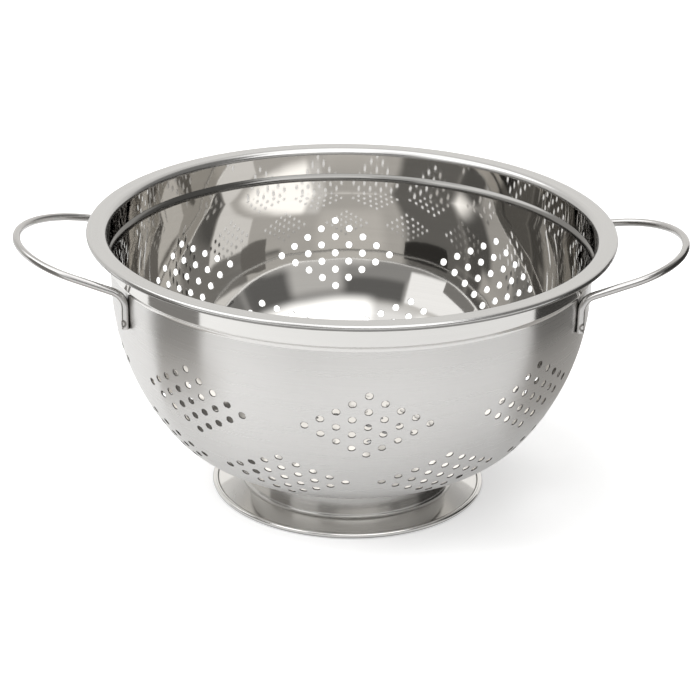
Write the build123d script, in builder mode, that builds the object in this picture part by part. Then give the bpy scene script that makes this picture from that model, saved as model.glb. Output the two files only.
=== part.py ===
from build123d import *
import math
import os

# Footed colander in pressed sheet, with two wire handles.
# Millimetres, +Z up, origin on the floor under the bowl's axis, handles along X.

# Bowl: one drawn sheet, measured on its outer skin
sheet = 0.6
foot_height = 21.7  # floor to the flat base
wall_radius = 127.4  # of the straight wall and of the round dome under it
dome_share = 0.78  # depth of the dome and its corner, as a share of the wall radius
straight_height = 9.2
corner_turn = 52.0  # degrees of the tighter corner between the dome and the flat base

# Rim: a step outwards, an upright band, a flat flange and a rolled edge
step_width = 2.1
step_height = 1.9
band_height = 12.9
lip_bend = 1.6
flange_width = 7.3
roll_radius = 1.6  # outside of the rolled edge
hem_width = 2.0

# Drain holes: two rings of diamonds, the lower ring set between the upper ones
hole_size = 3.9
cut_over = 1.5  # how far each cut starts outside the sheet
diamonds = 8
diamond_side = 5  # holes along each side of a diamond
diamond_turn = 3.0  # degrees from the front to the first upper diamond
upper_drop = 35.3  # bottom of the straight wall to the middle of each ring
lower_drop = 78.7
upper_row = 4.74  # between rows, measured down the dome
lower_row = 4.41
upper_column = 3.70  # degrees between columns
lower_column = 4.36

# Holes in the flat base: rings around one in the middle
base_rings = 3
base_ring_step = 12.0
base_ring_holes = 6  # each ring has this many more than the one inside it

# Foot: a spun ring with an inner seat, an upright collar and a flat skirt
seat_width = 9.0
seat_inset = 1.8  # collar inside the edge of the flat base
seat_bend = 1.5
skirt_bend = 4.5
skirt_width = 18.4  # collar to the outside of the foot's rolled edge
skirt_slope = 6.0
foot_roll = 1.2
foot_hem = 2.6

# Handles: bent wire, legs flattened on the wall, loop rising outwards
wire = 4.2
leg_spread = 25.0  # degrees from the handle's middle to each leg
leg_length = 18.0
leg_drop = 2.0  # top of the straight wall to the middle of the loop's wire
leg_press = 0.6  # depth flattened off each leg where it is welded
leg_bend = 8.0
arm_toe = 17.6  # degrees each arm turns in towards the tip
loop_rise = 12.0
loop_reach = 60.0  # legs to the middle of the wire at the tip
weld_gap = 0.05

# Sizes that follow
dome_depth = dome_share * wall_radius
corner_angle = math.radians(corner_turn)
corner_bend = (dome_depth - wall_radius * math.cos(corner_angle)) / (1 - math.cos(corner_angle))
base_radius = (wall_radius - corner_bend) * math.sin(corner_angle)
dome_turn = 90 - corner_turn
dome_length = wall_radius * math.radians(dome_turn)
dome_top = foot_height + dome_depth
wall_top = dome_top + straight_height
band_radius = wall_radius + step_width
band_top = wall_top + step_height + band_height


def hole_plane(azimuth, drop):
    """A plane just outside the dome, square to it, at degrees from the front and a drop."""
    slope = drop / wall_radius
    radius, height = 0, dome_top
    bend = wall_radius
    if drop > dome_length:
        bend = corner_bend
        slope = math.radians(dome_turn) + (drop - dome_length) / corner_bend
        radius, height = base_radius, foot_height + corner_bend
    radius += (bend + cut_over) * math.cos(slope)
    height -= (bend + cut_over) * math.sin(slope)
    turn = math.radians(azimuth)
    return Plane(
        origin=(radius * math.sin(turn), -radius * math.cos(turn), height),
        x_dir=(math.cos(turn), math.sin(turn), 0),
        z_dir=(
            math.cos(slope) * math.sin(turn),
            -math.cos(slope) * math.cos(turn),
            -math.sin(slope),
        ),
    )


def diamond_planes(azimuth, drop, row, column):
    """The hole places of one diamond, a square grid standing on its corner."""
    places = []
    for i in range(diamond_side):
        for j in range(diamond_side):
            down_step = i + j - (diamond_side - 1)
            places.append(hole_plane(azimuth + (i - j) * column, drop + down_step * row))
    return places


hole_planes = []
for n in range(diamonds):
    middle = diamond_turn + n * 360 / diamonds
    hole_planes += diamond_planes(middle, upper_drop, upper_row, upper_column)
    hole_planes += diamond_planes(middle + 180 / diamonds, lower_drop, lower_row, lower_column)

# Bowl
with BuildPart() as bowl:
    with BuildSketch(Plane.XZ):
        with BuildLine():
            base_line = Line((0, foot_height), (base_radius, foot_height))
            corner = JernArc(base_line @ 1, base_line % 1, corner_bend, corner_turn)
            dome = JernArc(corner @ 1, corner % 1, wall_radius, dome_turn)
            wall = Line(dome @ 1, (wall_radius, wall_top))
            step = Line(wall @ 1, (band_radius, wall_top + step_height))
            band = Line(step @ 1, (band_radius, band_top))
            lip = JernArc(band @ 1, band % 1, lip_bend, -90)
            flange = Line(lip @ 1, lip @ 1 + Vector(flange_width, 0))
            roll = JernArc(flange @ 1, flange % 1, roll_radius - sheet, -180)
            Line(roll @ 1, roll @ 1 - Vector(hem_width, 0))
            offset(amount=sheet, side=Side.LEFT)
        make_face()
    revolve(axis=Axis.Z)
    with BuildSketch(*hole_planes):
        Circle(hole_size / 2)
    extrude(amount=-2 * cut_over, mode=Mode.SUBTRACT, clean=False)
    with BuildSketch(Plane.XY.offset(foot_height - cut_over)):
        Circle(hole_size / 2)
        for n in range(base_rings):
            with PolarLocations((n + 1) * base_ring_step, (n + 1) * base_ring_holes):
                Circle(hole_size / 2)
    extrude(amount=2 * cut_over + sheet, mode=Mode.SUBTRACT, clean=False)
bowl.part.label = "bowl"

# Foot, drawn along its outer skin
collar_radius = base_radius - seat_inset
slope_angle = math.radians(skirt_slope)
skirt_run = skirt_width - skirt_bend * (1 - math.sin(slope_angle)) - foot_roll
skirt_start = foot_roll * (1 + math.cos(slope_angle)) + skirt_run * math.tan(slope_angle)
with BuildPart() as foot:
    with BuildSketch(Plane.XZ):
        with BuildLine():
            seat = Line(
                (collar_radius - seat_width, foot_height),
                (collar_radius - seat_bend, foot_height),
            )
            seat_edge = JernArc(seat @ 1, seat % 1, seat_bend, -90)
            collar = Line(
                seat_edge @ 1,
                (collar_radius, skirt_start + skirt_bend * math.cos(slope_angle)),
            )
            sweep_out = JernArc(collar @ 1, collar % 1, skirt_bend, 90 - skirt_slope)
            skirt = Line(
                sweep_out @ 1,
                sweep_out @ 1 + Vector(skirt_run, -skirt_run * math.tan(slope_angle)),
            )
            foot_edge = JernArc(skirt @ 1, skirt % 1, foot_roll, skirt_slope - 180)
            Line(foot_edge @ 1, foot_edge @ 1 - Vector(foot_hem, 0))
            offset(amount=sheet, side=Side.RIGHT)
        make_face()
    revolve(axis=Axis.Z)
foot.part.label = "foot"

# Handles
wire_radius = wire / 2
leg_radius = wall_radius + wire_radius - leg_press
leg_out = leg_radius * math.cos(math.radians(leg_spread))
leg_side = leg_radius * math.sin(math.radians(leg_spread))
loop_height = wall_top - leg_drop
leg_end = loop_height - leg_length
rise = math.radians(loop_rise)
toe = math.radians(arm_toe)
loop_plane = Plane(
    origin=(leg_out, 0, loop_height),
    x_dir=(math.cos(rise), 0, math.sin(rise)),
    z_dir=(-math.sin(rise), 0, math.cos(rise)),
)
tip_out = loop_reach / math.cos(rise)
tip_radius = (leg_side * math.cos(toe) - tip_out * math.sin(toe)) / (1 - math.sin(toe))
arm_out = tip_out - tip_radius * (1 - math.sin(toe))
arm_side = tip_radius * math.cos(toe)


def loop_point(out, side):
    """A point of the handle's loop, from its plane."""
    return loop_plane.from_local_coords((out, side, 0))


# The space that the wall fills behind the legs
seat_radius = wall_radius + weld_gap
with BuildPart() as wall_space:
    with BuildSketch(Plane.XZ):
        with BuildLine():
            seat_line = Line((seat_radius, wall_top), (seat_radius, dome_top))
            seat_arc = JernArc(seat_line @ 1, seat_line % 1, seat_radius, -dome_turn / 2)
            Polyline(
                seat_arc @ 1,
                seat_arc @ 1 - Vector(wire, 0),
                (wall_radius - wire, wall_top),
                seat_line @ 0,
            )
        make_face()
    revolve(axis=Axis.Z)

with BuildPart() as right_handle:
    with BuildLine() as handle_path:
        FilletPolyline(
            (leg_out, -leg_side, leg_end),
            loop_point(0, -leg_side),
            loop_point(arm_out, -arm_side),
            radius=leg_bend,
        )
        ThreePointArc(
            loop_point(arm_out, -arm_side),
            loop_point(tip_out, 0),
            loop_point(arm_out, arm_side),
        )
        FilletPolyline(
            loop_point(arm_out, arm_side),
            loop_point(0, leg_side),
            (leg_out, leg_side, leg_end),
            radius=leg_bend,
        )
    with BuildSketch(Plane.XY.offset(leg_end)):
        with Locations((leg_out, -leg_side)):
            Circle(wire_radius)
    sweep(path=handle_path.wire())
    add(wall_space.part, mode=Mode.SUBTRACT)
right_handle.part.label = "right_handle"

with BuildPart() as left_handle:
    add(right_handle.part, rotation=(0, 0, 180))
left_handle.part.label = "left_handle"

os.makedirs("parts", exist_ok=True)
for piece in (bowl, foot, right_handle, left_handle):
    export_step(piece.part, "parts/" + piece.part.label + ".step")
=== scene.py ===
import math

import bpy
import numpy as np
from mathutils import Matrix, Vector
from mathutils.geometry import delaunay_2d_cdt


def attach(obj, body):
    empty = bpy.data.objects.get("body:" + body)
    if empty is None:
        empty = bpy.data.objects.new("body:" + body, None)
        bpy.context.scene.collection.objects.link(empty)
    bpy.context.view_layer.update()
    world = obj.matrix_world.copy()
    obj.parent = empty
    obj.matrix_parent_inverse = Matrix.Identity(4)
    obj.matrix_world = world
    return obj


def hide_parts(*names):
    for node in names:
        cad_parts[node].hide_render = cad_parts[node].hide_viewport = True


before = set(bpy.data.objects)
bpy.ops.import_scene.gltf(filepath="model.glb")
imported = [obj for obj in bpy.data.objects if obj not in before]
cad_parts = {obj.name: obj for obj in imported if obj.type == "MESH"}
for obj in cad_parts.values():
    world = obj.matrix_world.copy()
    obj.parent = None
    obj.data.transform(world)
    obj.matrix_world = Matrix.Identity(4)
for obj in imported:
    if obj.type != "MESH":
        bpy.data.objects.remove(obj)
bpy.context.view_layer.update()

# Footed steel colander on a white table, lit as in a studio.
# The object's sizes are millimetres, as in the part's source, and turn into metres when a mesh is made.
MM = 0.001
MICRON = 0.001 * MM

# Bowl, measured on its outer skin from the axis to the rolled edge
SHEET = 0.6
FOOT_HEIGHT = 21.7  # floor to the flat bottom
WALL_RADIUS = 127.4
DOME_SHARE = 0.78  # depth of the dome and its corner, as a share of the wall's radius
DOME_DEPTH = DOME_SHARE * WALL_RADIUS
CORNER_TURN = math.radians(52.0)  # of the tighter corner between the dome and the flat bottom
STRAIGHT_HEIGHT = 9.2
STEP_WIDTH = 2.1
STEP_HEIGHT = 1.9
STEP_FOOT_FILLET = 3.5  # where the wall turns into the step
STEP_TOP_FILLET = 0.9  # where the step turns into the band
BAND_HEIGHT = 11.5
LIP_BEND = 3.0
FLANGE_WIDTH = 5.9
ROLL_RADIUS = 1.6  # outside of the rolled edge
HEM_WIDTH = 2.0

# Foot, measured on its outer skin from the bead at its edge inwards
FOOT_RADIUS = 73.94
BEAD_RADIUS = 1.45
BEAD_TURN = math.radians(235)
BEAD_FILLET = 0.8  # in the crease between the bead and the skirt
SKIRT_SLOPE = math.radians(6)
SKIRT_BEND = 2.5
COLLAR_RADIUS = 55.67
SEAT_BEND = 1.5
SEAT_WIDTH = 7.5

# Drain holes of the dome, in two belts of diamonds. Drops are walked down it from the straight wall.
HOLE_RADIUS = 3.9 / 2
EDGE_WIDTH = 0.25  # of the rounding round each hole
EDGE_DEPTH = 0.06
EDGE_TILT = math.radians(55)
DIAMONDS = 8  # in each belt
DIAMOND_SIDE = 5  # holes along each side
DIAMOND_TURN = math.radians(3.0)  # from the front to the first upper diamond
UPPER_DROP = 35.3  # to the middle of each diamond
LOWER_DROP = 78.7
UPPER_ROW = 4.74
LOWER_ROW = 4.41
UPPER_COLUMN = math.radians(3.70)
LOWER_COLUMN = math.radians(4.36)
UPPER_TOP = 10.0  # to the top of the upper belt, then to the top and the end of the lower one
BELT_SPLIT = 57.65
LOWER_END = 104.0

# Drain holes of the flat bottom, in rings round one in the middle
BASE_RINGS = 3
BASE_RING_STEP = 12.0
BASE_RING_HOLES = 6  # each ring has this many more than the one inside it
BASE_EDGE = 48.0  # radius of the perforated patch

# Fineness of the meshes
SECTOR_COLUMNS = 40  # in the part of a belt that holds one diamond
BOWL_COLUMNS = SECTOR_COLUMNS * DIAMONDS
FOOT_COLUMNS = 200
HOLE_POINTS = 20
GRID = 2.6  # between the points of a perforated patch
HOLE_MARGIN = 0.8  # from the rounding of a hole to the nearest of them
BASE_MARGIN = 1.5  # from the edge of the flat bottom's patch to the nearest of them
ARC_STEP = math.radians(4)
SAME_LENGTH = 1e-9
SAME_POINT = 1e-5

OUTSIDE, INSIDE = 0, 1

# Places in BOWL_FINISHES and FOOT_FINISHES, and the pairs for the outer and the inner skin
FINISH_OUTSIDE, FINISH_INSIDE, FINISH_RIM, FINISH_CUT_SHADE, FINISH_BAND, FINISH_PAINTED_SHADE = range(6)
FOOT_POLISH, FOOT_CREASE_SHADE, FOOT_COLLAR_SHADED = range(3)
SKIN_FINISHES = (FINISH_OUTSIDE, FINISH_INSIDE)
# The outer rounding of each hole takes painted shade, a dark tint
EDGE_FINISHES = (FINISH_PAINTED_SHADE, FINISH_INSIDE)


class Outline:
    """A line of straight and round runs in the (radius, height) plane, walked by its length."""

    def __init__(self, radius, height, heading):
        self.runs = []
        self.here = (radius, height, heading)
        self.length = 0.0

    def go(self, length, turn=0.0):
        """A run of that length that turns left by that angle. Returns the length walked so far."""
        self.runs.append((self.length, self.here, length, turn))
        self.length += length
        self.here = self.at(self.length)
        return self.length

    def bend(self, radius, turn):
        """A round run of that radius. Returns the length walked so far."""
        return self.go(radius * abs(turn), turn)

    def at(self, walked):
        """(radius, height, heading) at that length."""
        reached = [run for run in self.runs if run[0] <= walked + SAME_LENGTH]
        start, (r, z, heading), length, turn = reached[-1]
        step = walked - start
        if turn == 0:
            return r + step * math.cos(heading), z + step * math.sin(heading), heading
        curve = turn / length
        end = heading + curve * step
        return (
            r + (math.sin(end) - math.sin(heading)) / curve,
            z - (math.cos(end) - math.cos(heading)) / curve,
            end,
        )

    def stations(self, first, last):
        """Lengths that divide the runs between two lengths finely enough."""
        found = []
        for start, _, length, turn in self.runs:
            a, b = max(start, first), min(start + length, last)
            if b - a > SAME_LENGTH:
                parts = max(1, math.ceil(abs(turn) * (b - a) / length / ARC_STEP))
                found += [a + (b - a) * i / parts for i in range(parts + 1)]
        return sorted(set(round(s, 6) for s in found))


class Shell:
    """Gathers points with their exact normals, and faces with their finishes, into one mesh."""

    def __init__(self):
        self.points, self.normals, self.faces, self.finishes = [], [], [], []
        self.count = 0

    def add(self, points, normals, faces, finish):
        """Faces name their points by place in these arrays."""
        self.points.append(np.asarray(points, float))
        self.normals.append(np.asarray(normals, float))
        self.faces += [tuple(self.count + i for i in face) for face in faces]
        self.finishes += [finish] * len(faces)
        self.count += len(points)

    def add_turned(self, points, normals, faces, finish, turns):
        """A copy at each turn round the axis."""
        for turn in turns:
            spin = np.array(Matrix.Rotation(turn, 3, "Z")).T
            self.add(points @ spin, normals @ spin, faces, finish)

    def build(self, name, materials):
        """The object, with every face turned to look the way of its normals."""
        points = np.concatenate(self.points)
        normals = np.concatenate(self.normals)
        faces = []
        for face in self.faces:
            a, b, c = (points[i] for i in face[:3])
            away = np.dot(np.cross(b - a, c - a), normals[face[0]] + normals[face[2]])
            faces.append(face if away >= 0 else face[::-1])
        mesh = bpy.data.meshes.new(name)
        mesh.from_pydata((points * MM).tolist(), [], faces)
        for metal in materials:
            mesh.materials.append(metal)
        mesh.polygons.foreach_set("material_index", self.finishes)
        mesh.polygons.foreach_set("use_smooth", [True] * len(faces))
        mesh.normals_split_custom_set_from_vertices(normals.tolist())
        mesh.update()
        piece = bpy.data.objects.new(name, mesh)
        bpy.context.scene.collection.objects.link(piece)
        return piece


def skin_point(outline, walked, side):
    """(radius, height) and the normal there in the same plane, on the outer or the inner skin."""
    r, z, heading = outline.at(walked)
    nr, nz = math.sin(heading), -math.cos(heading)
    if side == INSIDE:
        return r - SHEET * nr, z - SHEET * nz, -nr, -nz
    return r, z, nr, nz


def around(r, z, nr, nz, angle):
    """A point and its normal, turned round the axis by that angle from the front."""
    s, c = math.sin(angle), math.cos(angle)
    return (r * s, -r * c, z), (nr * s, -nr * c, nz)


def ring_faces(rows, columns):
    """Four-sided faces between rows of points that close into rings."""
    faces = []
    for i in range(rows - 1):
        for j in range(columns):
            a, b = i * columns + j, i * columns + (j + 1) % columns
            faces.append((a, b, b + columns, a + columns))
    return faces


def revolve(shell, rows, finish, columns):
    """The surface that rows of (radius, height, normal) sweep round the axis."""
    points, normals = [], []
    for row in rows:
        for j in range(columns):
            point, normal = around(*row, DIAMOND_TURN + 2 * math.pi * j / columns)
            points.append(point)
            normals.append(normal)
    shell.add(points, normals, ring_faces(len(rows), columns), finish)


def add_skins(shell, outline, first, last, finishes, columns):
    """Both skins of the sheet between two lengths of its outline."""
    stations = outline.stations(first, last)
    for side in (OUTSIDE, INSIDE):
        rows = [skin_point(outline, s, side) for s in stations]
        revolve(shell, rows, finishes[side], columns)


class Belt:
    """A belt of the dome, with its places as (angle, length walked)."""

    def __init__(self, outline, first, last):
        self.outline = outline
        self.spread = outline.at((first + last) / 2)[0]  # width of one radian where the belt is laid flat

    def unit(self, walked):
        """Real width of one radian."""
        return self.outline.at(walked)[0]

    def surface(self, angle, walked, side):
        return around(*skin_point(self.outline, walked, side), angle)


class Base:
    """The flat bottom, with its places as (x, y)."""

    def __init__(self, outline):
        self.outline = outline
        self.spread = 1.0

    def unit(self, y):
        return 1.0

    def surface(self, x, y, side):
        _, z, _, nz = skin_point(self.outline, BASE_EDGE, side)
        return (x, y, z), (0.0, 0.0, nz)


def circle(patch, centre, radius):
    """Places round the centre of a hole, at that distance on the patch."""
    turns = [2 * math.pi * k / HOLE_POINTS for k in range(HOLE_POINTS)]
    unit = patch.unit(centre[1])
    return [(centre[0] + radius * math.cos(t) / unit, centre[1] + radius * math.sin(t)) for t in turns]


def clear_of_holes(patch, places, centres):
    """The places that aren't too near a hole to be points of the grid."""
    near = HOLE_RADIUS + EDGE_WIDTH + HOLE_MARGIN
    return [
        (u, v)
        for u, v in places
        if all(math.hypot((u - a) * patch.unit(b), v - b) > near for a, b in centres)
    ]


def triangulate(patch, places, centres):
    """The places with those round the holes, and Delaunay triangles on them that leave the holes open."""
    flat = [Vector((u * patch.spread, v)) for u, v in places]
    edges = []
    for centre in centres:
        first = len(flat)
        flat += [Vector((u * patch.spread, v)) for u, v in circle(patch, centre, HOLE_RADIUS + EDGE_WIDTH)]
        edges += [(first + k, first + (k + 1) % HOLE_POINTS) for k in range(HOLE_POINTS)]
    made = delaunay_2d_cdt(flat, edges, [], 0, SAME_POINT)
    points = np.array([tuple(p) for p in made[0]])
    middles = np.array([(u * patch.spread, v) for u, v in centres])
    reach = np.array([(patch.spread / patch.unit(v), 1.0) for _, v in centres]) * HOLE_RADIUS
    triangles = []
    for face in made[2]:
        away = (middles - points[list(face)].mean(0)) / reach
        if np.linalg.norm(away, axis=1).min() > 1:
            triangles.append(tuple(face))
    return [(x / patch.spread, v) for x, v in points], triangles


def on_skin(patch, places, side):
    """The points and the normals at those places, as two arrays."""
    found = [patch.surface(u, v, side) for u, v in places]
    return (np.array(part) for part in zip(*found))


def add_hole(shell, patch, centre, turns):
    """The rounded edges and the wall of one hole, at each turn round the axis."""
    ring = ring_faces(2, HOLE_POINTS)
    walls = []
    for side in (OUTSIDE, INSIDE):
        middle, _ = on_skin(patch, [centre], side)
        outer, outer_normals = on_skin(patch, circle(patch, centre, HOLE_RADIUS + EDGE_WIDTH), side)
        inner, inner_normals = on_skin(patch, circle(patch, centre, HOLE_RADIUS), side)
        inwards = middle - inner
        inwards /= np.linalg.norm(inwards, axis=1, keepdims=True)
        sunk = inner - EDGE_DEPTH * inner_normals
        tilted = math.cos(EDGE_TILT) * inner_normals + math.sin(EDGE_TILT) * inwards
        points = np.concatenate((outer, sunk))
        normals = np.concatenate((outer_normals, tilted))
        shell.add_turned(points, normals, ring, EDGE_FINISHES[side], turns)
        walls.append((sunk, inwards))
    points, normals = (np.concatenate(part) for part in zip(*walls))
    # The hole's wall takes painted shade, near black
    shell.add_turned(points, normals, ring, FINISH_CUT_SHADE, turns)


def perforate(shell, patch, grid, centres, turns):
    """Both skins of a patch between its holes, and the holes, at each turn round the axis."""
    places, triangles = triangulate(patch, grid, centres)
    for side in (OUTSIDE, INSIDE):
        points, normals = on_skin(patch, places, side)
        shell.add_turned(points, normals, triangles, SKIN_FINISHES[side], turns)
    for centre in centres:
        add_hole(shell, patch, centre, turns)


def diamond(walked, row, column):
    """Hole centres of one diamond about angle zero, as (angle, length walked)."""
    reach = DIAMOND_SIDE - 1
    return [
        ((i - j) * column, walked - (i + j - reach) * row)
        for i in range(DIAMOND_SIDE)
        for j in range(DIAMOND_SIDE)
    ]


def add_belt(shell, outline, first, last, centres, middle):
    """One belt of the dome, as turned copies of the sector round one diamond of holes."""
    half = math.pi / DIAMONDS
    rows = round((last - first) / GRID)
    grid = [
        ((j / SECTOR_COLUMNS * 2 - 1) * half, first + (last - first) * i / rows)
        for i in range(rows + 1)
        for j in range(SECTOR_COLUMNS + 1)
    ]
    patch = Belt(outline, first, last)
    turns = [middle + n * 2 * half for n in range(DIAMONDS)]
    perforate(shell, patch, clear_of_holes(patch, grid, centres), centres, turns)


def base_holes():
    """Hole centres of the flat bottom."""
    centres = [(0.0, 0.0)]
    for n in range(1, BASE_RINGS + 1):
        radius, holes = n * BASE_RING_STEP, n * BASE_RING_HOLES
        for k in range(holes):
            turn = 2 * math.pi * k / holes
            centres.append((radius * math.cos(turn), radius * math.sin(turn)))
    return centres


def add_base(shell, outline):
    """The flat bottom with its rings of holes."""
    edge = []
    for j in range(BOWL_COLUMNS):
        point, _ = around(BASE_EDGE, 0, 0, 0, DIAMOND_TURN + 2 * math.pi * j / BOWL_COLUMNS)
        edge.append(point[:2])
    steps = int(BASE_EDGE / GRID)
    across = [i * GRID for i in range(-steps, steps + 1)]
    grid = [(x, y) for x in across for y in across if math.hypot(x, y) < BASE_EDGE - BASE_MARGIN]
    centres = base_holes()
    patch = Base(outline)
    perforate(shell, patch, edge + clear_of_holes(patch, grid, centres), centres, [0.0])


def bowl_outline():
    """The outer skin from the axis to the end of the rolled edge, and the lengths of its named places."""
    corner_bend = (DOME_DEPTH - WALL_RADIUS * math.cos(CORNER_TURN)) / (1 - math.cos(CORNER_TURN))
    base_radius = (WALL_RADIUS - corner_bend) * math.sin(CORNER_TURN)
    step_turn = math.atan2(STEP_WIDTH, STEP_HEIGHT)
    foot_trim = STEP_FOOT_FILLET * math.tan(step_turn / 2)
    top_trim = STEP_TOP_FILLET * math.tan(step_turn / 2)
    outline = Outline(0, FOOT_HEIGHT, 0)
    outline.go(base_radius)
    outline.bend(corner_bend, CORNER_TURN)
    places = {"dome_top": outline.bend(WALL_RADIUS, math.pi / 2 - CORNER_TURN)}
    places["step"] = outline.go(STRAIGHT_HEIGHT - foot_trim)
    outline.bend(STEP_FOOT_FILLET, -step_turn)
    outline.go(math.hypot(STEP_WIDTH, STEP_HEIGHT) - foot_trim - top_trim)
    places["step_end"] = outline.bend(STEP_TOP_FILLET, step_turn)
    places["lip"] = outline.go(BAND_HEIGHT - top_trim)
    outline.bend(LIP_BEND, -math.pi / 2)
    outline.go(FLANGE_WIDTH)
    places["roll_side"] = outline.bend(ROLL_RADIUS - SHEET, -math.pi / 2)
    outline.bend(ROLL_RADIUS - SHEET, -math.pi / 2)
    places["end"] = outline.go(HEM_WIDTH)
    return outline, places


def make_bowl(materials):
    """The perforated bowl as one fine shell with true sheet thickness and round holes."""
    outline, places = bowl_outline()
    shell = Shell()
    top = places["dome_top"]
    lower = (top - LOWER_END, top - BELT_SPLIT)
    upper = (top - BELT_SPLIT, top - UPPER_TOP)
    add_base(shell, outline)
    for first, last, finishes in (
        (BASE_EDGE, lower[0], SKIN_FINISHES),
        (upper[1], places["step"], SKIN_FINISHES),
        # The ledge inside the step and the lower half of the rolled edge take painted shade, a dark tint
        (places["step"], places["step_end"], (FINISH_BAND, FINISH_PAINTED_SHADE)),
        (places["step_end"], places["lip"], (FINISH_BAND, FINISH_INSIDE)),
        (places["lip"], places["roll_side"], (FINISH_BAND, FINISH_RIM)),
        (places["roll_side"], places["end"], (FINISH_BAND, FINISH_PAINTED_SHADE)),
    ):
        add_skins(shell, outline, first, last, finishes, BOWL_COLUMNS)
    hem = [skin_point(outline, places["end"], side) for side in (OUTSIDE, INSIDE)]
    revolve(shell, [(r, z, -1.0, 0.0) for r, z, _, _ in hem], FINISH_CUT_SHADE, BOWL_COLUMNS)
    lower_holes = diamond(top - LOWER_DROP, LOWER_ROW, LOWER_COLUMN)
    upper_holes = diamond(top - UPPER_DROP, UPPER_ROW, UPPER_COLUMN)
    add_belt(shell, outline, *lower, lower_holes, DIAMOND_TURN + math.pi / DIAMONDS)
    add_belt(shell, outline, *upper, upper_holes, DIAMOND_TURN)
    return shell.build("bowl_shell", materials)


def make_foot(materials):
    """The spun foot: a beaded edge, a flat skirt, a collar and its seat under the bowl."""
    outline = Outline(FOOT_RADIUS - BEAD_RADIUS, 0, 0)
    bead_end = outline.bend(BEAD_RADIUS, BEAD_TURN)
    crease_end = outline.bend(BEAD_FILLET, math.pi - SKIRT_SLOPE - BEAD_TURN)
    bend_width = SKIRT_BEND * (1 - math.sin(SKIRT_SLOPE))
    skirt_end = outline.go((outline.here[0] - COLLAR_RADIUS - bend_width) / math.cos(SKIRT_SLOPE))
    outline.bend(SKIRT_BEND, SKIRT_SLOPE - math.pi / 2)
    outline.go(FOOT_HEIGHT - SEAT_BEND - outline.here[1])
    outline.bend(SEAT_BEND, math.pi / 2)
    end = outline.go(SEAT_WIDTH)
    shell = Shell()
    for first, last, finish in (
        (0, bead_end, FOOT_POLISH),
        # The crease takes painted shade
        (bead_end, crease_end, FOOT_CREASE_SHADE),
        (crease_end, skirt_end, FOOT_POLISH),
        (skirt_end, end, FOOT_COLLAR_SHADED),
    # The collar's darker tint is partly painted shade
    ):
        add_skins(shell, outline, first, last, (finish, FOOT_COLLAR_SHADED), FOOT_COLUMNS)
    return shell.build("foot_shell", materials)


# Steel
STEEL_TINT = (0.76, 0.75, 0.735)
DULL_SHARE = 0.93  # tint of the duller marks, as a share of the rest's
ACROSS_THE_MARKS = 0.25  # a quarter turn from the marks, the way that they spread the light
NOISE_RANGE = (0.3, 0.7)  # where nearly all of a noise's values lie
NOISE_ROUGHNESS = 0.6
LEAST_RADIUS = 0.01 * MM  # keeps the rings of noise defined at the axis
FINE_SHARE = 0.6  # of the fine marks in their mix with broader ones
BROAD_WIDTH = 14.0  # of the broader marks, as a multiple of the fine ones'
BROAD_LENGTH = 2.0
WAVES = 30.0  # of the pressed sheet, to the metre
# Painted shade in narrow gaps and creases: an ambient-occlusion node darkens the colour where shade falls
PAINTED_SHADE_REACH = 3.0 * MM  # how far round a narrow gap the painted shade reaches
PAINTED_SHADE_RANGE = (0.25, 0.7)  # openness at which the painted shade is darkest, and at which it stops
PAINTED_SHADE_TINT = (0.12, 0.115, 0.11)
PAINTED_SHADE_SAMPLES = 8

# Spot weld near the end of each handle's leg, a ring pressed into the wire
WELD_PLACE = (116.8, 54.5)  # out to the side, and to the front or back
WELD_HEIGHT = 113.4
WELD_FACE = math.radians(30.0)  # from straight to the front, the way that the ring faces
WELD_SIZE = (1.2, 1.7)  # to the ring's crest, across and up
WELD_RIM = 0.5  # from the crest to the ring's edge, as a share of that size
WELD_DEPTH = 0.25
WELD_TINT = (0.2, 0.19, 0.18)


class Finish:
    """How one steel surface is worked, with its tint, which on some finishes is painted shade. Its marks
    run in rings round the axis.
    """

    def __init__(self, name, roughness, anisotropy, mark_depth, marks, length, wave=0.0, tint=STEEL_TINT):
        self.name = name
        self.roughness = roughness  # (least, most)
        self.anisotropy = anisotropy
        self.mark_depth = mark_depth  # microns
        self.marks = marks  # to the metre, across them
        self.length = length  # the higher, the shorter the marks
        self.wave = wave  # depth of the sheet's waviness, microns
        self.tint = tint


BOWL_FINISHES = (
    Finish("bowl_outside", (0.26, 0.31), 0.95, mark_depth=1.0, marks=6000.0, length=3.0),
    Finish("bowl_inside", (0.02, 0.05), 0.5, mark_depth=0.6, marks=4000.0, length=2.0,
           wave=180.0, tint=(0.72, 0.705, 0.68)),
    Finish("bowl_rim", (0.16, 0.26), 0.2, mark_depth=2.0, marks=5000.0, length=3.0,
           tint=(0.66, 0.655, 0.645)),
    # Painted shade: the walls of the holes and the end of the hem are near black, for the shade inside them
    Finish("cut_edges_painted_shade", (0.3, 0.4), 0.0, mark_depth=2.0, marks=5000.0, length=3.0,
           tint=(0.09, 0.085, 0.08)),
    Finish("bowl_band", (0.08, 0.14), 0.8, mark_depth=1.0, marks=5000.0, length=3.0,
           wave=30.0, tint=(0.8, 0.79, 0.77)),
    # Painted shade: a dark tint for the ledge inside the step, the lower half of the rolled edge and the
    # outer rounding of each hole
    Finish("bowl_painted_shade", (0.1, 0.18), 0.3, mark_depth=1.0, marks=5000.0, length=3.0,
           tint=(0.27, 0.265, 0.255)),
)
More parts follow.
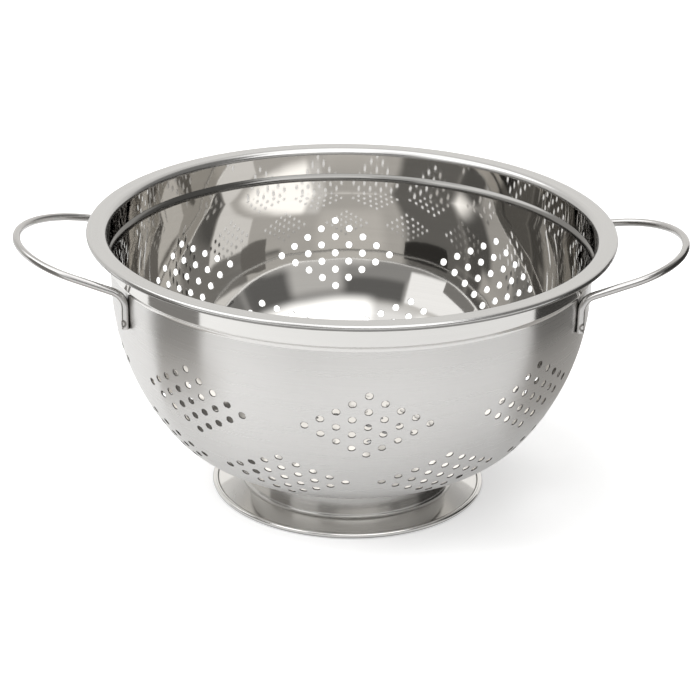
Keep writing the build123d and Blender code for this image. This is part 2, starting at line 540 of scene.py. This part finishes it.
FOOT_FINISHES = (
    Finish("foot_polish", (0.04, 0.10), 0.5, mark_depth=1.0, marks=5000.0, length=2.0,
           wave=50.0, tint=(0.88, 0.87, 0.85)),
    # Painted shade: a dark tint in the crease between the bead and the skirt
    Finish("foot_crease_painted_shade", (0.2, 0.3), 0.0, mark_depth=1.0, marks=5000.0, length=2.0,
           tint=(0.16, 0.15, 0.14)),
    # Partly a duller spun finish, partly painted shade: a darker tint for the collar and the foot's inner
    # skin, for the shade under the bowl
    Finish("foot_collar_shaded", (0.14, 0.24), 0.6, mark_depth=1.0, marks=5000.0, length=2.0,
           wave=50.0, tint=(0.66, 0.65, 0.63)),
)
WIRE_FINISH = Finish("handle_wire", (0.12, 0.22), 0.0, mark_depth=2.0, marks=1500.0, length=2.0,
                     wave=30.0, tint=(0.6, 0.59, 0.58))


def material(name):
    """A new node material, with its node tree and its main shader."""
    made = bpy.data.materials.new(name)
    made.use_nodes = True
    tree = made.node_tree
    return made, tree, tree.nodes["Principled BSDF"]


def node(tree, kind, inputs=None, **settings):
    """A new node with its settings, and with values or links for its inputs."""
    made = tree.nodes.new(kind)
    for key, value in settings.items():
        setattr(made, key, value)
    for key, value in (inputs or {}).items():
        if isinstance(value, bpy.types.NodeSocket):
            tree.links.new(value, made.inputs[key])
        else:
            made.inputs[key].default_value = value
    return made


def math_node(tree, operation, a, b=0.0):
    """The result of a sum on one or two values."""
    return node(tree, "ShaderNodeMath", {0: a, 1: b}, operation=operation).outputs[0]


def length_node(tree, a, b):
    """The length of the flat vector (a, b)."""
    squares = [math_node(tree, "MULTIPLY", side, side) for side in (a, b)]
    return math_node(tree, "SQRT", math_node(tree, "ADD", *squares))


def coordinates(tree, kind):
    """The x, y and z of a texture coordinate."""
    split = node(tree, "ShaderNodeSeparateXYZ", {0: node(tree, "ShaderNodeTexCoord").outputs[kind]})
    return [split.outputs[i] for i in range(3)]


def mapped(tree, value, low, high, source=NOISE_RANGE):
    """The value, spread from its usual range to low..high."""
    return node(tree, "ShaderNodeMapRange", {
        "Value": value, "From Min": source[0], "From Max": source[1], "To Min": low, "To Max": high,
    }).outputs["Result"]


def smooth_step(tree, value, nothing, full):
    """Goes smoothly from 0 at one value to 1 at the other."""
    return node(tree, "ShaderNodeMapRange", {
        "Value": value, "From Min": nothing, "From Max": full,
    }, interpolation_type="SMOOTHSTEP").outputs["Result"]


def blend(tree, factor, low, high):
    """A colour between two."""
    made = node(tree, "ShaderNodeMix", {0: factor}, data_type="RGBA")
    for socket, value in zip([s for s in made.inputs if s.type == "RGBA"], (low, high)):
        if isinstance(value, bpy.types.NodeSocket):
            tree.links.new(value, socket)
        else:
            socket.default_value = (*value, 1.0)
    return [s for s in made.outputs if s.type == "RGBA"][0]


def bump(tree, depth, height, under=None):
    """The normal with a bump of that depth, over another normal where one is given."""
    made = node(tree, "ShaderNodeBump", {"Distance": depth, "Height": height})
    if under is not None:
        tree.links.new(under, made.inputs["Normal"])
    return made.outputs[0]


def streaks(tree, fine, along, detail=3.0):
    """Noise in rings round the axis: fine across the rings, long along them, with no seam."""
    x, y, z = coordinates(tree, "Object")
    radius = length_node(tree, x, y)
    safe = math_node(tree, "MAXIMUM", radius, LEAST_RADIUS)
    spread = node(tree, "ShaderNodeCombineXYZ", {
        0: math_node(tree, "MULTIPLY", math_node(tree, "DIVIDE", x, safe), along),
        1: math_node(tree, "MULTIPLY", math_node(tree, "DIVIDE", y, safe), along),
        2: math_node(tree, "MULTIPLY", z, fine),
    }).outputs[0]
    return node(tree, "ShaderNodeTexNoise", {
        "Vector": spread, "W": math_node(tree, "MULTIPLY", radius, fine),
        "Scale": 1.0, "Detail": detail, "Roughness": NOISE_ROUGHNESS,
    }, noise_dimensions="4D").outputs["Fac"]


def steel_marks(tree, finish):
    """The finish's fine marks, alone and mixed with broader ones."""
    fine = streaks(tree, finish.marks, finish.length)
    broad = streaks(tree, finish.marks / BROAD_WIDTH, finish.length / BROAD_LENGTH, detail=2.0)
    mixed = math_node(tree, "ADD", math_node(tree, "MULTIPLY", fine, FINE_SHARE),
                      math_node(tree, "MULTIPLY", broad, 1.0 - FINE_SHARE))
    return fine, mixed


def steel_waves(tree):
    """The waviness of a pressed sheet."""
    where = node(tree, "ShaderNodeTexCoord").outputs["Object"]
    return node(tree, "ShaderNodeTexNoise", {"Vector": where, "Scale": WAVES, "Detail": 1.0}).outputs["Fac"]


def weld_marks(tree):
    """The height of the weld marks' rings."""
    x, y, z = coordinates(tree, "Object")
    out, side = (
        math_node(tree, "SUBTRACT", math_node(tree, "ABSOLUTE", way), place * MM)
        for way, place in zip((x, y), WELD_PLACE)
    )
    across = math_node(tree, "SUBTRACT", math_node(tree, "MULTIPLY", out, math.cos(WELD_FACE)),
                       math_node(tree, "MULTIPLY", side, math.sin(WELD_FACE)))
    up = math_node(tree, "SUBTRACT", z, WELD_HEIGHT * MM)
    offsets = [math_node(tree, "DIVIDE", off, size * MM) for off, size in zip((across, up), WELD_SIZE)]
    from_crest = math_node(tree, "SUBTRACT", length_node(tree, *offsets), 1.0)
    return smooth_step(tree, math_node(tree, "ABSOLUTE", from_crest), WELD_RIM, 0.0)


def steel_colour(tree, finish, mixed, weld):
    """The finish's tint: a little duller in some marks, with painted shade in narrow gaps, and dark on the
    welds.
    """
    dull = tuple(DULL_SHARE * c for c in finish.tint)
    colour = blend(tree, mapped(tree, mixed, 0.0, 1.0), dull, finish.tint)
    # Painted shade: the colour goes towards a dark tint where the gap is narrow
    painted_shade_ao = node(tree, "ShaderNodeAmbientOcclusion", {"Distance": PAINTED_SHADE_REACH}, samples=PAINTED_SHADE_SAMPLES)
    openness = mapped(tree, painted_shade_ao.outputs["AO"], 0.0, 1.0, source=PAINTED_SHADE_RANGE)
    colour = blend(tree, openness, PAINTED_SHADE_TINT, colour)
    return colour if weld is None else blend(tree, weld, colour, WELD_TINT)


def steel(finish, welded=False):
    """Stainless steel with that finish."""
    made, tree, shader = material(finish.name)
    fine, mixed = steel_marks(tree, finish)
    weld = weld_marks(tree) if welded else None
    tree.links.new(mapped(tree, mixed, *finish.roughness), shader.inputs["Roughness"])
    tree.links.new(steel_colour(tree, finish, mixed, weld), shader.inputs["Base Color"])
    shader.inputs["Metallic"].default_value = 1.0
    shader.inputs["Anisotropic"].default_value = finish.anisotropy
    shader.inputs["Anisotropic Rotation"].default_value = ACROSS_THE_MARKS
    tangent = node(tree, "ShaderNodeTangent", direction_type="RADIAL", axis="Z")
    tree.links.new(tangent.outputs[0], shader.inputs["Tangent"])
    normal = bump(tree, finish.mark_depth * MICRON, fine)
    if finish.wave:
        normal = bump(tree, finish.wave * MICRON, steel_waves(tree), normal)
    if welded:
        normal = bump(tree, WELD_DEPTH * MM, weld, normal)
    tree.links.new(normal, shader.inputs["Normal"])
    return made


# Table, lamps and cards, in metres
TABLE_SIDE = 4.0  # from its middle to its edge
TABLE_DROP = 0.0002  # keeps it clear of the foot
TABLE_GLOW = 0.44  # the white that no shadow takes away
TABLE_PALE = 0.7  # how pale the table is under its lamps
METAL_GLOW = 0.37  # the same two as the metal sees the table
METAL_PALE = 0.35
CARD_HEIGHT = 0.25
CARD_TINT = (1.0, 0.97, 0.93)

# The studio round the object as the metal sees it: name, middle and half size in degrees of turn from
# the front (right is 90) and of height, soft edge in degrees, and brightness.
# Later panels cover earlier ones, and those brighter than white are lamps.
PANELS = (
    ("back_wall", 180, 20, 32, 20, 8, 0.92),
    ("ceiling", 320, 62, 105, 25, 4, 1.1),
    ("zenith", 0, 90, 180, 27, 4, 1.7),
    ("softbox_left", 272, 49, 42, 12, 4, 2.2),
    ("dark_front", 14, 22, 47, 12, 2.5, 0.15),
    ("low_left", 315, 14, 30, 7, 2, 0.32),
    ("low_front", 345, 17, 18, 6, 2, 0.33),
    ("card_front", 18, 20, 15, 11, 4, 0.62),
    ("low_right", 17, 10, 29, 6.5, 3, 0.7),
    ("softbox_front", 22, 50, 36, 15, 5, 2.1),
    ("dark_right", 93, 29, 33, 33, 6, 0.22),
    ("card_left", 305, 25, 21, 7.5, 0.8, 1.2),
    ("horizon", 0, 0, 75, 9, 3, 0.5),
    ("dark_left", 266, 0, 18, 9, 3, 0.15),
)
ROOM = 0.75  # brightness where there is no panel
WARM = (1.0, 0.985, 0.96)  # of all that isn't a lamp
WHITE = (1.0, 1.0, 1.0)


def split_by_camera(tree, others, camera):
    """One shader for the camera and another for all else."""
    path = node(tree, "ShaderNodeLightPath")
    return node(tree, "ShaderNodeMixShader", {
        0: path.outputs["Is Camera Ray"], 1: others, 2: camera,
    }).outputs[0]


def stage_plane(name, corners, finish):
    """A plain four-cornered piece of the set."""
    mesh = bpy.data.meshes.new(name)
    mesh.from_pydata(corners, [], [(0, 1, 2, 3)])
    mesh.materials.append(finish)
    made = bpy.data.objects.new(name, mesh)
    bpy.context.scene.collection.objects.link(made)
    return made


def make_table():
    """A white table that keeps the object's soft shadow."""
    made, tree, _ = material("table_white")
    seen = []
    for pale, glow in ((METAL_PALE, METAL_GLOW), (TABLE_PALE, TABLE_GLOW)):
        matt = node(tree, "ShaderNodeBsdfDiffuse", {"Color": (pale, pale, pale, 1.0)})
        shine = node(tree, "ShaderNodeEmission", {"Color": (glow, glow, glow, 1.0)})
        seen.append(node(tree, "ShaderNodeAddShader", {0: matt.outputs[0], 1: shine.outputs[0]}).outputs[0])
    tree.links.new(split_by_camera(tree, *seen), tree.nodes["Material Output"].inputs["Surface"])
    side, z = TABLE_SIDE, -TABLE_DROP
    stage_plane("table", [(-side, -side, z), (side, -side, z), (side, side, z), (-side, side, z)], made)


def add_card(name, corners, tone):
    """A card beside the object that only the metal sees."""
    made, tree, _ = material(name)
    glow = node(tree, "ShaderNodeEmission", {"Color": (*(tone * c for c in CARD_TINT), 1.0)})
    tree.links.new(glow.outputs[0], tree.nodes["Material Output"].inputs["Surface"])
    card = stage_plane(name, corners, made)
    card.visible_camera = False
    card.visible_diffuse = False
    card.visible_shadow = False


def add_side_cards(name, near, far, front, back, painted_shade_tone, standing_tone):
    """A card that lies on the table, painted shade on the table beside the object as the metal sees it, and
    a darker one that stands at its far edge.
    """
    lying = [(near, front, 0), (far, front, 0), (far, back, 0), (near, back, 0)]
    standing = [(far, front, 0), (far, back, 0), (far, back, CARD_HEIGHT), (far, front, CARD_HEIGHT)]
    add_card(name + "_lying_shade", lying, painted_shade_tone)
    add_card(name + "_standing", standing, standing_tone)


def add_table_lamp(name, place, size, power):
    """A soft lamp for the table alone. The metal sees the world's panels instead."""
    data = bpy.data.lights.new(name, "AREA")
    data.size = size
    data.energy = power
    lamp = bpy.data.objects.new(name, data)
    bpy.context.scene.collection.objects.link(lamp)
    lamp.location = place
    lamp.rotation_mode = "QUATERNION"
    lamp.rotation_quaternion = Vector(place).to_track_quat("Z", "Y")
    lamp.visible_glossy = False


def panel_mask(tree, turn, rise, middle, height, half_width, half_height, soft):
    """1 inside a panel and 0 outside it."""
    aside = math_node(tree, "SUBTRACT", turn, middle - 180.0)
    aside = math_node(tree, "SUBTRACT", math_node(tree, "FLOORED_MODULO", aside, 360.0), 180.0)
    above = math_node(tree, "SUBTRACT", rise, height)
    inside = [
        smooth_step(tree, math_node(tree, "ABSOLUTE", off), half + soft, half - soft)
        for off, half in ((aside, half_width), (above, half_height))
    ]
    return math_node(tree, "MULTIPLY", *inside)


def make_world():
    """White to the camera. Metal sees the panels of the studio."""
    world = bpy.data.worlds.new("studio")
    world.use_nodes = True
    bpy.context.scene.world = world
    tree = world.node_tree
    tree.nodes.clear()
    x, y, z = coordinates(tree, "Generated")
    turn = math_node(tree, "DEGREES", math_node(tree, "ARCTAN2", x, math_node(tree, "MULTIPLY", y, -1.0)))
    rise = math_node(tree, "DEGREES", math_node(tree, "ARCSINE", z))
    seen = tuple(ROOM * c for c in WARM)
    for _, *shape, brightness in PANELS:
        tint = WARM if brightness < 1.0 else WHITE
        seen = blend(tree, panel_mask(tree, turn, rise, *shape), seen, tuple(brightness * c for c in tint))
    studio = node(tree, "ShaderNodeBackground", {"Color": seen})
    white = node(tree, "ShaderNodeBackground", {"Color": (*WHITE, 1.0)})
    output = node(tree, "ShaderNodeOutputWorld")
    tree.links.new(split_by_camera(tree, studio.outputs[0], white.outputs[0]), output.inputs["Surface"])


# Camera, at the photograph's angle
CAMERA_FAR = 1293.2  # from the axis, and above the table
CAMERA_HEIGHT = 618.7
CAMERA_TURN = math.radians(-1.5)
CAMERA_PITCH = math.radians(22.75)
CAMERA_ROLL = 0.0184  # radians
CAMERA_LENS = 133.97
CAMERA_SENSOR = 36.0


def make_camera():
    """The camera, from its place round the axis, its pitch and its slight roll."""
    data = bpy.data.cameras.new("camera")
    data.lens = CAMERA_LENS
    data.sensor_width = CAMERA_SENSOR
    camera = bpy.data.objects.new("camera", data)
    bpy.context.scene.collection.objects.link(camera)
    turn = Matrix.Rotation(CAMERA_TURN, 4, "Z")
    place = Matrix.Translation((0, -CAMERA_FAR * MM, CAMERA_HEIGHT * MM))
    pitch = Matrix.Rotation(math.pi / 2 - CAMERA_PITCH, 4, "X")
    roll = Matrix.Rotation(CAMERA_ROLL, 4, "Z")
    camera.matrix_world = turn @ place @ pitch @ roll
    bpy.context.scene.camera = camera


bowl_shell = make_bowl([steel(finish) for finish in BOWL_FINISHES])
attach(bowl_shell, "root")
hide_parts("bowl")

foot_shell = make_foot([steel(finish) for finish in FOOT_FINISHES])
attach(foot_shell, "root")
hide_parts("foot")

wire_steel = steel(WIRE_FINISH, welded=True)
for name in ("right_handle", "left_handle"):
    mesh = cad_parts[name].data
    mesh.materials.clear()
    mesh.materials.append(wire_steel)

make_table()
make_world()
# The lying cards are painted shade on the table beside the object, seen only in the metal; on the right
# they stand for the object's shadow
add_side_cards("left", near=-0.18, far=-0.30, front=-0.163, back=-0.008, painted_shade_tone=0.6, standing_tone=0.25)
add_side_cards("right", near=0.15, far=0.36, front=-0.08, back=0.24, painted_shade_tone=0.45, standing_tone=0.05)
add_table_lamp("lamp_top", place=(-0.3, -0.1, 1.3), size=0.9, power=12.0)
add_table_lamp("lamp_left", place=(-1.0, -0.1, 0.5), size=0.4, power=4.5)
make_camera()
bpy.context.scene.view_settings.view_transform = "Standard"
